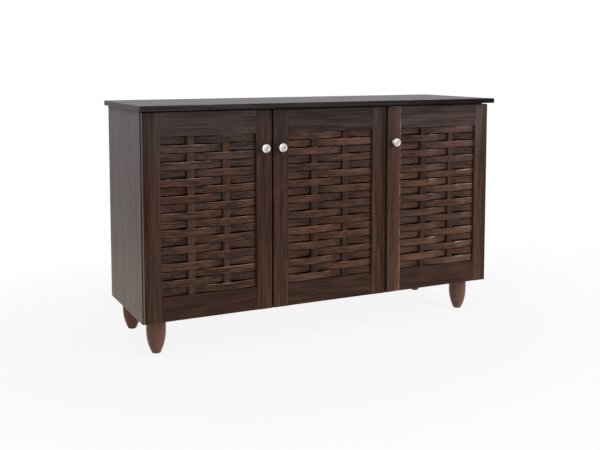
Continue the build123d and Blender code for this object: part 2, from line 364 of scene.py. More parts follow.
def start_material(name: str) -> tuple[bpy.types.Material, Graph, bpy.types.Node, Any]:
    """Starts a material with a Principled shader.

    Args:
        name: the material's name.

    Returns:
        The material, its graph, its shader and the socket of Object coordinates.
    """
    material = bpy.data.materials.new(name)
    material.use_nodes = True
    graph = Graph(material.node_tree)
    shader = graph.add("ShaderNodeBsdfPrincipled")
    graph.add("ShaderNodeOutputMaterial", {"Surface": shader.outputs[0]})
    place = graph.add("ShaderNodeTexCoord").outputs["Object"]
    return material, graph, shader, place


@dataclass(frozen=True)
class Stain:
    """Darkest and lightest colour of a stained wood."""

    dark: Colour
    light: Colour


@dataclass(frozen=True)
class WoodFinish:
    """Stained wood grain under a satin lacquer, with edges lightened for wear and painted highlight, painted
    shade towards one side and painted light towards head and foot.
    """

    name: str
    stain: Stain
    axis: GrainAxis
    tone: float = 0.0
    figure: float = 0.2
    contrast: float = 1.05
    rough: Span = (0.40, 0.52)
    specular: float = 0.2
    relief: float = 0.25
    relief_depth: float = 0.25 * MM
    # Edges lightened in patches by this share and tint: partly wear, partly painted highlight where light
    # catches them.
    wear_and_highlight: float = 0.3
    wear_and_highlight_width: float = 1.6 * MM
    wear_and_highlight_tint: Colour = (2.1, 2.0, 1.95)
    # Painted shade: how far the tone drops towards a board's shaded edge.
    painted_edge_shade: float = 0.12
    # Colours of the front face from the left end to the right: a darker edge band, with painted sheen where
    # it is lighter and cooler.
    front_band_and_sheen: tuple[Colour, ...] = ()
    front_dull: float = 0.0
    end_gloss: float = 0.0
    haze: float = 0.0
    haze_reach: float = 24.0 * MM
    # Painted light: tints towards the head and the foot that stand in for reflection and light, cooler or
    # lighter as each finish sets them.
    head_painted_light: Colour = WHITE
    head_share: float = 0.4
    foot_painted_light: Colour = WHITE
    foot_share: float = 0.5

    def grain(self, graph: Graph, place: Any, tone: Any, stretch: Place = WHITE) -> Any:
        """Adds the wood grain.

        Args:
            graph: the material's graph.
            place: coordinates that the grain follows.
            tone: how much lighter it is than its stain.
            stretch: how much finer than usual it is along each axis.

        Returns:
            The outputs of the grain.
        """
        turned = {"Vector": place, "Rotation": self.axis.turn(), "Scale": stretch}
        along = graph.add("ShaderNodeMapping", turned).outputs[0]
        inputs = {"Vector": along, "Dark": rgba(self.stain.dark), "Light": rgba(self.stain.light)}
        inputs |= {"Figure": self.figure, "Contrast": self.contrast, "Bias": tone}
        return graph.group("wood_grain", inputs)

    def finish_shader(self, graph: Graph, shader: bpy.types.Node, grain: Any, colour: Any, dull: Any) -> None:
        """Joins colour, gloss and relief to the shader.

        Args:
            graph: the material's graph.
            shader: the Principled shader.
            grain: the outputs of the wood grain.
            colour: the finished colour.
            dull: how much rougher the surface is than its finish.
        """
        smooth, coarse = self.rough
        rough = graph.math("ADD", graph.ramp(grain["Tone"], RISE, (coarse, smooth)), dull)
        normal = graph.bump(grain["Height"], self.relief, self.relief_depth)
        graph.join(shader, {"Base Color": colour, "Roughness": rough, "Normal": normal})
        graph.join(shader, {"Specular IOR Level": self.specular})

    def paint_head_and_foot_light(self, graph: Graph, colour: Any, height: Any, low: float, high: float) -> Any:
        """Paints light towards the head and the foot of what it covers, as tints of the colour: painted
        reflection and painted light.

        Args:
            graph: the material's graph.
            colour: the colour to paint the light on.
            height: the socket of the height.
            low: height of the foot.
            high: height of the head.

        Returns:
            The colour with the painted light.
        """
        reach = high - low
        if self.head_painted_light != WHITE:
            head = graph.ramp(height, (high - self.head_share * reach, high))
            colour = graph.tint(colour, self.head_painted_light, head)
        if self.foot_painted_light != WHITE:
            foot = graph.ramp(height, (low, low + self.foot_share * reach), FALL)
            colour = graph.tint(colour, self.foot_painted_light, foot)
        return colour

    def board(self, node: str, shaded_side: Side | None = None) -> bpy.types.Material:
        """Makes the finish for one board, with its edges lightened for wear and painted highlight, and its
        banded narrow faces.

        Args:
            node: the board's node.
            shaded_side: the edge towards which painted shade darkens the grain, and where the edges aren't
                lightened.

        Returns:
            The material.
        """
        material, graph, shader, place = start_material(f"{self.name}_{node}")
        low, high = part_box(node)
        across, _, height = graph.split(place)
        width = (low.x, high.x)
        edge = graph.group("edge_wear_and_highlight", {"Vector": place, "Low": low, "High": high, "Width": self.wear_and_highlight_width})
        wear_and_highlight = graph.math("MULTIPLY", edge["WearAndHighlight"], self.wear_and_highlight)
        tone: Any = self.tone
        # Painted shade: the grain darkens towards the shaded edge, and only the other edges are lightened.
        if shaded_side:
            change = shaded_side.value * self.painted_edge_shade
            tone = graph.ramp(across, width, (self.tone + change, self.tone - change))
            light_side = graph.ramp(across, width, RISE if shaded_side is Side.LEFT else FALL)
            wear_and_highlight = graph.math("MULTIPLY", wear_and_highlight, light_side)
        grain = self.grain(graph, place, tone)
        # Lighter edges: wear and painted highlight.
        colour = graph.tint(grain["Color"], self.wear_and_highlight_tint, wear_and_highlight)
        # Front face: a darker edge band with painted sheen, running from the left end's colour to the right
        # end's.
        if self.front_band_and_sheen:
            shade = graph.mix(graph.ramp(across, width), *self.front_band_and_sheen)
            colour = graph.tint(colour, shade, edge["Front"])
        colour = self.paint_head_and_foot_light(graph, colour, height, low.z, high.z)
        dull = graph.math("MULTIPLY", edge["Front"], self.front_dull)
        dull = graph.math("SUBTRACT", dull, graph.math("MULTIPLY", edge["Ends"], self.end_gloss))
        if self.haze:
            hazed = graph.ramp(height, (high.z - self.haze_reach, high.z), (0.0, self.haze))
            dull = graph.math("ADD", dull, hazed)
        self.finish_shader(graph, shader, grain, colour, dull)
        return material

    def plain(self) -> bpy.types.Material:
        """Makes the finish with no lightened edges, for turned and scattered pieces.

        Returns:
            The material.
        """
        material, graph, shader, place = start_material(self.name)
        grain = self.grain(graph, place, self.tone)
        self.finish_shader(graph, shader, grain, grain["Color"], 0.0)
        return material


@dataclass(frozen=True)
class SlatStack:
    """A door's slats: their node, their rows and the x of both uprights that they bend round."""

    node: str
    door: int
    low: float
    pitch: float
    rows: int
    uprights: Span


@dataclass(frozen=True)
class SlatFinish(WoodFinish):
    """Wood finish of a stack of slats, each with its own tone and grain, with painted shade deeper in the
    weave and a painted highlight on the top edges where it stands proud.
    """

    door_step: float = 37.0
    grain_stretch: Place = (2.5, 1.0, 1.0)
    levels: Span = (0.86, 1.14)
    warm: Colour = (1.03, 0.99, 0.97)
    cool: Colour = (0.97, 1.01, 1.03)
    painted_recess_shade: float = 0.24
    crest_gloss: float = 0.06
    patches: Noise = Noise((22.0, 22.0, 60.0))
    patch_span: Span = (0.40, 0.58)
    patch_highlight: Span = (0.3, 1.0)
    proud_depth: Span = (0.3, 0.6)
    sunk_highlight: float = 0.3
    painted_flank_glints: bool = False
    flank_start: float = 0.10
    flank_end: float = 0.4
    flank_span: Span = (0.2, 0.7)
    flank_onset: Span = (-0.4, 0.0)
    # Painted sheen on the right flanks of the bends.
    sheen: Colour = (1.35, 1.55, 1.75)
    sheen_share: float = 0.4

    def row_colour(self, graph: Graph, rows: Any, colour: Any, shade: Any) -> Any:
        """Gives each row its own level and hue, times the painted shade by depth.

        Args:
            graph: the material's graph.
            rows: the outputs of the rows.
            colour: the colour of the grain.
            shade: painted shade, how light the slats are at each depth.

        Returns:
            The colour of the rows.
        """
        level = graph.math("MULTIPLY", graph.ramp(rows["Tone"], RISE, self.levels), shade)
        level = graph.add("ShaderNodeCombineColor", {0: level, 1: level, 2: level}).outputs[0]
        hue = graph.mix(rows["Hue"], self.warm, self.cool)
        return graph.tint(graph.tint(colour, level), hue)

    def flanks(self, graph: Graph, stack: SlatStack, across: Any) -> Any:
        """Marks the right flank of each bend, from the first upright on, where the glints and the sheen are
        painted.

        Args:
            graph: the material's graph.
            stack: the slats.
            across: the socket of the place along the slats.

        Returns:
            The mask.
        """
        first, last = stack.uprights
        spacing = last - first
        reach = graph.math("MINIMUM", across, last + self.flank_end * spacing)
        turn = graph.math("SUBTRACT", reach, first + self.flank_start * spacing)
        turn = graph.math("MULTIPLY", turn, math.tau / spacing)
        flank = graph.ramp(graph.math("SINE", turn), self.flank_span)
        return graph.math("MULTIPLY", flank, graph.ramp(turn, self.flank_onset))

    def material(self, stack: SlatStack) -> bpy.types.Material:
        """Makes the finish.

        Args:
            stack: the slats that it is for.

        Returns:
            The material.
        """
        material, graph, shader, place = start_material(self.name)
        first = stack.door * self.door_step
        inputs = {"Vector": place, "Low": stack.low, "Pitch": stack.pitch, "First": first}
        rows = graph.group("slat_rows", inputs)
        grain = self.grain(graph, rows["Vector"], self.tone, self.grain_stretch)
        across, depth, height = graph.split(place)
        front, back = (corner.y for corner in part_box(stack.node))
        # Painted shade: the slats lighter where they stand forward and darker where they lie deeper in the
        # weave.
        shade = graph.ramp(depth, (front, back), (1.0 + self.painted_recess_shade, 1.0 - self.painted_recess_shade))
        colour = self.row_colour(graph, rows, grain["Color"], shade)
        # Painted highlight: the top edges lighter in patches where the slat stands proud; with painted flank
        # glints only on each bend's right flank, which also gets a painted sheen.
        highlighted = graph.tint(colour, self.wear_and_highlight_tint)
        begin, end = (front + share * (back - front) for share in self.proud_depth)
        proud = graph.ramp(depth, (begin, end), (1.0, self.sunk_highlight))
        patchy = graph.ramp(graph.noise(place, self.patches), self.patch_span, self.patch_highlight)
        crest = graph.math("MULTIPLY", graph.math("MULTIPLY", rows["Crest"], proud), patchy)
        if self.painted_flank_glints:
            flank = self.flanks(graph, stack, across)
            crest = graph.math("MULTIPLY", crest, flank)
            shining = graph.math("MULTIPLY", graph.math("MULTIPLY", flank, proud), self.sheen_share)
            colour = graph.tint(colour, self.sheen, shining)
        colour = graph.mix(graph.math("MULTIPLY", crest, self.wear_and_highlight), colour, highlighted)
        colour = self.paint_head_and_foot_light(graph, colour, height, stack.low, stack.low + stack.rows * stack.pitch)
        dull = graph.math("MULTIPLY", crest, -self.crest_gloss)
        self.finish_shader(graph, shader, grain, colour, dull)
        return material


@dataclass(frozen=True)
class MetalFinish:
    """Plated metal with turning marks round an axis along Y."""

    name: str
    colour: Colour
    rough: Span
    smear_shade: Colour = (0.86, 0.86, 0.86)
    smear_span: Span = (0.35, 0.7)
    ring_span: Span = (0.3, 0.7)
    relief: float = 0.08
    relief_depth: float = 0.05 * MM

    def material(self, suffix: str, centre: Vector) -> bpy.types.Material:
        """Makes the finish.

        Args:
            suffix: what it is for, added to the name.
            centre: a point on the axis that the marks run round.

        Returns:
            The material.
        """
        material, graph, shader, place = start_material(f"{self.name}_{suffix}")
        marks = graph.group("turned_metal", {"Vector": place, "Centre": centre})
        smeared = graph.ramp(marks["Smear"], self.smear_span)
        colour = graph.tint(self.colour, self.smear_shade, smeared)
        rough = graph.ramp(marks["Rings"], self.ring_span, self.rough)
        normal = graph.bump(marks["Rings"], self.relief, self.relief_depth)
        graph.join(shader, {"Base Color": colour, "Roughness": rough, "Normal": normal, "Metallic": 1.0})
        return material


@dataclass(frozen=True)
class FeltFinish:
    """Matted felt with loose fibres."""

    name: str
    dark: Colour
    light: Colour
    fibres: Noise = Noise((2600.0, 2600.0, 2600.0), 3.0, 0.7)
    fibre_span: Span = (0.3, 0.7)
    relief: float = 0.6
    relief_depth: float = 0.3 * MM
    rough: float = 0.95

    def material(self) -> bpy.types.Material:
        """Makes the finish.

        Returns:
            The material.
        """
        material, graph, shader, place = start_material(self.name)
        fibres = graph.noise(place, self.fibres)
        colour = graph.mix(graph.ramp(fibres, self.fibre_span), self.dark, self.light)
        normal = graph.bump(fibres, self.relief, self.relief_depth)
        graph.join(shader, {"Base Color": colour, "Roughness": self.rough, "Normal": normal})
        return material


FRAME_STAIN = Stain((0.0222, 0.0101, 0.0062), (0.110, 0.0545, 0.0368))
RAIL_STAIN = Stain((0.0264, 0.0160, 0.0138), (0.106, 0.0705, 0.0640))
SLAT_STAIN = Stain((0.0240, 0.0102, 0.0060), (0.121, 0.0585, 0.0370))
UPRIGHT_STAIN = Stain((0.034, 0.0160, 0.0100), (0.125, 0.064, 0.041))
BOARD_STAIN = Stain((0.018, 0.0100, 0.0082), (0.070, 0.043, 0.035))
FOOT_STAIN = Stain((0.155, 0.070, 0.043), (0.240, 0.116, 0.074))

SHELF_LAMINATE = WoodFinish(
    "laminate_across", BOARD_STAIN, GrainAxis.ACROSS, rough=(0.30, 0.38), specular=0.5, relief=0.12,
)
DIVIDER_LAMINATE = replace(SHELF_LAMINATE, name="laminate_upright", axis=GrainAxis.UPRIGHT)
# Top: a dark band on the front edge, with painted sheen lighter and bluer towards the left end.
TOP_LAMINATE = replace(
    SHELF_LAMINATE, name="top_laminate", specular=0.2, front_dull=0.45,
    front_band_and_sheen=((1.25, 1.55, 2.0), (0.20, 0.22, 0.27)),
)
# Sides: painted reflection, cooler towards the head and warmer and lighter towards the foot.
SIDE_LAMINATE = replace(
    DIVIDER_LAMINATE, name="laminate_outer", rough=(0.33, 0.40), haze=0.16,
    head_painted_light=(1.0, 1.2, 1.7), foot_painted_light=(1.5, 1.5, 1.4),
)
BACK_BOARD = WoodFinish("back_board", BOARD_STAIN, GrainAxis.ACROSS, relief=0.1)
BATTEN = WoodFinish("batten", BOARD_STAIN, GrainAxis.DEPTH)
TURNED_FOOT = WoodFinish(
    "turned_foot", FOOT_STAIN, GrainAxis.UPRIGHT, figure=0.1, contrast=0.6, rough=(0.36, 0.46), specular=0.35,
)

TOP_RAIL = WoodFinish("rail", RAIL_STAIN, GrainAxis.ACROSS, figure=0.35)
BOTTOM_RAIL = replace(TOP_RAIL, stain=FRAME_STAIN, tone=-0.05, contrast=0.7, specular=0.14)
# Stiles: painted shade towards the hinge edge, painted reflection cooler at the head and lighter and warmer
# at the foot; their lighter edges are partly wear, partly painted highlight.
HINGE_STILE = WoodFinish(
    "stile", FRAME_STAIN, GrainAxis.UPRIGHT, figure=0.15, contrast=0.88, specular=0.14, wear_and_highlight=0.45, painted_edge_shade=0.24,
    end_gloss=0.2, head_painted_light=(0.90, 1.12, 1.45), foot_painted_light=(1.30, 1.38, 1.32),
)
KNOB_STILE = replace(HINGE_STILE, painted_edge_shade=0.12, head_painted_light=(0.84, 1.06, 1.42))
UPRIGHT = WoodFinish("upright", UPRIGHT_STAIN, GrainAxis.UPRIGHT)
# Slats: a painted highlight on their top edges and painted light towards their foot.
SLAT = SlatFinish(
    "slat", SLAT_STAIN, GrainAxis.ACROSS, rough=(0.34, 0.44), specular=0.24, wear_and_highlight=0.9, wear_and_highlight_tint=(2.2, 2.1, 2.05),
    foot_painted_light=(1.12, 1.12, 1.06),
)

FELT = FeltFinish("felt", (0.05, 0.035, 0.028), (0.12, 0.09, 0.075))
NICKEL = MetalFinish("nickel", (0.62, 0.61, 0.58), (0.26, 0.40))
SCREW_STEEL = MetalFinish("screw_steel", (0.56, 0.55, 0.53), (0.24, 0.36))
SILVER = MetalFinish("silver", (0.97, 0.945, 0.905), (0.10, 0.20))
HARDWARE_CENTRE = Vector((0.0, 0.0, 0.4))


# Modelling by hand


def only(piece: bpy.types.Object) -> None:
    """Makes a piece the one selected and active object.

    Args:
        piece: the piece.
    """
    bpy.ops.object.select_all(action="DESELECT")
    piece.select_set(True)
    bpy.context.view_layer.objects.active = piece


def settle(piece: bpy.types.Object) -> None:
    """Puts a piece's place, turn and scale into its mesh."""
    only(piece)
    bpy.ops.object.transform_apply(location=True, rotation=True, scale=True)


def dress(piece: bpy.types.Object, material: bpy.types.Material) -> None:
    """Gives a piece one material and reports it.

    Args:
        piece: the piece.
        material: what it wears.
    """
    piece.data.materials.clear()
    piece.data.materials.append(material)
    LOG.info("%s in %s", piece.name, material.name)


@dataclass(frozen=True)
class SoftEdge:
    """Softened sharp edges, made by modifiers that leave a board's mesh as it is."""

    width: float
    segments: int = 2
    merge: float = 0.005 * MM
    flat_angle: float = math.radians(0.5)
    sharp_angle: float = math.radians(50.0)

    def soften(self, node: str) -> None:
        """Softens a board.

        Args:
            node: the board's node.
        """
        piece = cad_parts[node]
        weld = piece.modifiers.new("weld", "WELD")
        weld.merge_threshold = self.merge
        flat = piece.modifiers.new("flat", "DECIMATE")
        flat.decimate_type = "DISSOLVE"
        flat.angle_limit = self.flat_angle
        bevel = piece.modifiers.new("edge", "BEVEL")
        bevel.width = self.width
        bevel.segments = self.segments
        bevel.limit_method = "ANGLE"
        bevel.angle_limit = self.sharp_angle


# Sub-assemblies


@dataclass
class Carcass:
    """The standing boards, shelves and feet."""

    edge: SoftEdge = SoftEdge(0.7 * MM)
    shelves: tuple[str, ...] = tuple(f"{bay}_bay_shelf_{n}" for bay in ("left", "right") for n in (1, 2, 3))
    sides: tuple[str, ...] = ("left_side_panel", "right_side_panel")
    hardware: tuple[str, ...] = ("foot_bolts", "hinge_arms", "hinge_plates")

    def build(self) -> None:
        """Dresses every node of the carcass."""
        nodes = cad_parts
        finishes = {"top_panel": TOP_LAMINATE, "back_panel": BACK_BOARD, "divider_panel": DIVIDER_LAMINATE}
        finishes |= dict.fromkeys(("bottom_panel", *self.shelves), SHELF_LAMINATE)
        finishes |= dict.fromkeys(self.sides, SIDE_LAMINATE)
        for node, finish in finishes.items():
            dress(nodes[node], finish.board(node))
        for node in (*self.sides, "divider_panel", "bottom_panel", *self.shelves):
            self.edge.soften(node)
        dress(nodes["shelf_battens"], BATTEN.plain())
        dress(nodes["feet"], TURNED_FOOT.plain())
        dress(nodes["door_pads"], FELT.material())
        for node in self.hardware:
            dress(nodes[node], NICKEL.material(node, HARDWARE_CENTRE))


@dataclass
class Door:
    """One framed door with its woven panel, knob and hinge cups."""

    name: str
    hung_on: str
    number: int
    hinge_side: Side = Side.RIGHT
    # The edge of the knob stile that painted shade darkens, if any; the hinge stile darkens towards the hinge
    # side.
    knob_shaded_side: Side | None = None
    edge: SoftEdge = SoftEdge(0.6 * MM)
    slat_edge: SoftEdge = SoftEdge(1.2 * MM, 3)
    rows: int = 19
    upright_width: float = 22.0 * MM
    top_rail: WoodFinish = TOP_RAIL
    hinge_stile: WoodFinish = HINGE_STILE
    knob_stile: WoodFinish = KNOB_STILE
    upright: WoodFinish = UPRIGHT
    slat: SlatFinish = SLAT

    def node(self, part: str) -> str:
        """Returns the name of one of the door's nodes."""
        return f"{self.name}_{part}"

    def build(self) -> None:
        """Dresses every node of the door."""
        self.finish_frame()
        self.finish_weave()
        self.finish_metal()

    def finish_frame(self) -> None:
        """Dresses and softens the rails and stiles."""
        boards = (
            ("top_rail", self.top_rail, None),
            ("bottom_rail", BOTTOM_RAIL, None),
            ("hinge_stile", self.hinge_stile, self.hinge_side),
            ("knob_stile", self.knob_stile, self.knob_shaded_side),
        )
        for part, finish, shaded_side in boards:
            node = self.node(part)
            dress(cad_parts[node], finish.board(node, shaded_side))
            self.edge.soften(node)

    def finish_weave(self) -> None:
        """Dresses the slats and the uprights that they bend round."""
        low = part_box(self.node("bottom_rail"))[1].z
        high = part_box(self.node("top_rail"))[0].z
        first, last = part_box(self.node("uprights"))
        inset = self.upright_width / 2
        uprights = (first.x + inset, last.x - inset)
        node = self.node("slats")
        stack = SlatStack(node, self.number, low, (high - low) / self.rows, self.rows, uprights)
        slat = replace(self.slat, name=self.node("slat"))
        dress(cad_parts[node], slat.material(stack))
        self.slat_edge.soften(node)
        upright = replace(self.upright, name=self.node("upright"))
        dress(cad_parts[self.node("uprights")], upright.plain())

    def finish_metal(self) -> None:
        """Dresses the knob, the hinge cups and the hinge pins."""
        low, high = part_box(self.node("knob"))
        dress(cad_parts[self.node("knob")], SILVER.material(self.node("knob"), (low + high) / 2))
        for part in ("hinge_cups", "hinge_pins"):
            node = self.node(part)
            dress(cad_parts[node], NICKEL.material(node, Vector(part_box(node)[0])))


@dataclass(frozen=True)
class ScrewSize:
    """Domed head of a screw with a cross recess."""

    name: str
    diameter: float
    height: float
    sides: int = 24
    wall_share: float = 0.45
    dome_steps: tuple[Span, ...] = ((0.10, 0.45), (0.18, 0.35), (0.26, 0.20))
    recess_length: float = 0.56
    recess_width: float = 0.13
    recess_depth: float = 1.1
    smooth_angle: float = math.radians(32.0)


@dataclass
class Fasteners:
    """Screws of the hinges, the knobs and the shelf battens."""

    hinge_screw: ScrewSize = ScrewSize("hinge_screw", 7.0 * MM, 1.8 * MM)
    arm_screw: ScrewSize = ScrewSize("arm_screw", 6.0 * MM, 1.6 * MM)
    knob_screw: ScrewSize = ScrewSize("knob_screw", 9.0 * MM, 2.4 * MM)
    batten_screw: ScrewSize = ScrewSize("batten_screw", 7.0 * MM, 0.9 * MM)
    wing_half: float = 29.0 * MM
    wing_screw_reach: float = 23.5 * MM
    foot_thickness: float = 2.5 * MM
    foot_screw_reach: float = 15.0 * MM
    arm_face: float = 24.3 * MM
    arm_screw_reach: float = 13.0 * MM
    batten_width: float = 12.0 * MM
    batten_height: float = 18.0 * MM
    shelf_end_gap: float = 1.0 * MM
    batten_screw_inset: float = 45.0 * MM
    sunk: float = 0.1 * MM
    roll_step: float = 0.61
    facing_up: float = 0.9

    def __post_init__(self) -> None:
        """Starts the count that turns every screw's recess another way."""
        self.count = 0
        self.patterns: dict[str, bpy.types.Object] = {}
        self.steel: bpy.types.Material | None = None

    def build(self, doors: tuple[Door, ...]) -> None:
        """Models each kind of screw once and drives a copy wherever it belongs.

        Args:
            doors: the doors whose hinges and knobs are screwed on.
        """
        self.steel = SCREW_STEEL.material("heads", HARDWARE_CENTRE)
        for size in (self.hinge_screw, self.arm_screw, self.knob_screw, self.batten_screw):
            self.patterns[size.name] = self.model_screw(size)
        for door in doors:
            self.screw_hinges(door)
            self.screw_knob(door)
        for shelf in Carcass.shelves:
            self.screw_battens(shelf)
        for pattern in self.patterns.values():
            bpy.data.objects.remove(pattern)

    def model_screw(self, size: ScrewSize) -> bpy.types.Object:
        """Models a domed head with a cross recess, standing on the origin along Z.

        Args:
            size: the head's size.

        Returns:
            The pattern to copy.
        """
        bpy.ops.object.select_all(action="DESELECT")
        wall = size.wall_share * size.height
        radius = size.diameter / 2
        bpy.ops.mesh.primitive_cylinder_add(
            vertices=size.sides, radius=radius, depth=wall, location=(0.0, 0.0, wall / 2)
        )
        head = bpy.context.active_object
        head.name = f"pattern_{size.name}"
        settle(head)
        for face in head.data.polygons:
            face.select = face.normal.z > self.facing_up
        bpy.ops.object.mode_set(mode="EDIT")
        bpy.ops.mesh.select_mode(type="FACE")
        for inward, upward in size.dome_steps:
            bpy.ops.mesh.inset(thickness=inward * radius, depth=upward * (size.height - wall))
        bpy.ops.object.mode_set(mode="OBJECT")
        self.cut_cross(head, size)
        only(head)
        bpy.ops.object.shade_smooth_by_angle(angle=size.smooth_angle)
        return head

    def cut_cross(self, head: bpy.types.Object, size: ScrewSize) -> None:
        """Cuts the cross recess into a head.

        Args:
            head: the screw's head.
            size: its size.
        """
        length, width = size.recess_length * size.diameter, size.recess_width * size.diameter
        for turn in (0.0, math.radians(90.0)):
            bpy.ops.object.select_all(action="DESELECT")
            top = (0.0, 0.0, size.height)
            bpy.ops.mesh.primitive_cube_add(size=1.0, location=top, rotation=(0.0, 0.0, turn))
            blade = bpy.context.active_object
            blade.scale = (length, width, size.recess_depth * size.height)
            settle(blade)
            cut = head.modifiers.new("recess", "BOOLEAN")
            cut.operation = "DIFFERENCE"
            cut.solver = "EXACT"
            cut.object = blade
            only(head)
            bpy.ops.object.modifier_apply(modifier=cut.name)
            bpy.data.objects.remove(blade)

    def drive(self, size: ScrewSize, place: Vector, outward: Vector, body: str) -> None:
        """Drives one screw.

        Args:
            size: which screw.
            place: where its head meets the surface.
            outward: the way that the surface faces.
            body: what the screw moves with.
        """
        pattern = self.patterns[size.name]
        screw = pattern.copy()
        screw.data = pattern.data.copy()
        self.count += 1
        screw.name = f"{size.name}_{self.count:02d}"
        bpy.context.scene.collection.objects.link(screw)
        facing = outward.to_track_quat("Z", "Y") @ Quaternion((0.0, 0.0, 1.0), self.count * self.roll_step)
        screw.rotation_mode = "QUATERNION"
        screw.rotation_quaternion = facing
        screw.location = place - self.sunk * outward
        settle(screw)
        screw.rotation_mode = "XYZ"
        dress(screw, self.steel)
        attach(screw, body)

    def screw_hinges(self, door: Door) -> None:
        """Screws both hinges of a door to the door and to the board that it hangs on.

        Args:
            door: the door.
        """
        cup_low, cup_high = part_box(door.node("hinge_cups"))
        plate_low, plate_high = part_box("hinge_plates")
        inward = Vector((-door.hinge_side.value, 0.0, 0.0))
        backward = Vector((0.0, 1.0, 0.0))
        stile_left, stile_right = (corner.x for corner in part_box(door.node("hinge_stile")))
        board_left, board_right = (corner.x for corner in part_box(door.hung_on))
        on_right = door.hinge_side is Side.RIGHT
        hinge_edge, wall = (stile_right, board_left) if on_right else (stile_left, board_right)
        across = (cup_low.x + cup_high.x) / 2
        middle = (plate_low.y + plate_high.y) / 2
        for height in (cup_low.z + self.wing_half, cup_high.z - self.wing_half):
            for way in (-1, 1):
                wing = Vector((across, cup_high.y, height + way * self.wing_screw_reach))
                self.drive(self.hinge_screw, wing, backward, door.name)
                foot = Vector((wall, middle, height + way * self.foot_screw_reach))
                self.drive(self.hinge_screw, foot + self.foot_thickness * inward, inward, "carcass")
                arm = Vector((hinge_edge, middle + way * self.arm_screw_reach, height))
                self.drive(self.arm_screw, arm + self.arm_face * inward, inward, "carcass")

    def screw_knob(self, door: Door) -> None:
        """Screws a door's knob on from behind.

        Args:
            door: the door.
        """
        low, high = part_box(door.node("knob"))
        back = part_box(door.node("knob_stile"))[1].y
        place = Vector(((low.x + high.x) / 2, back, (low.z + high.z) / 2))
        self.drive(self.knob_screw, place, Vector((0.0, 1.0, 0.0)), door.name)

    def screw_battens(self, shelf: str) -> None:
        """Screws the two battens under a shelf to the walls.

        Args:
            shelf: the shelf's node.
        """
        low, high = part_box(shelf)
        reach = self.batten_width - self.shelf_end_gap
        for edge, way in ((low.x, 1.0), (high.x, -1.0)):
            for depth in (low.y + self.batten_screw_inset, high.y - self.batten_screw_inset):
                place = Vector((edge + way * reach, depth, low.z - self.batten_height / 2))
                self.drive(self.batten_screw, place, Vector((way, 0.0, 0.0)), "carcass")


@dataclass(frozen=True)
class Lamp:
    """A square soft light: where it hangs, the side of its square and its watts."""

    name: str
    place: Place
    size: float
    power: float


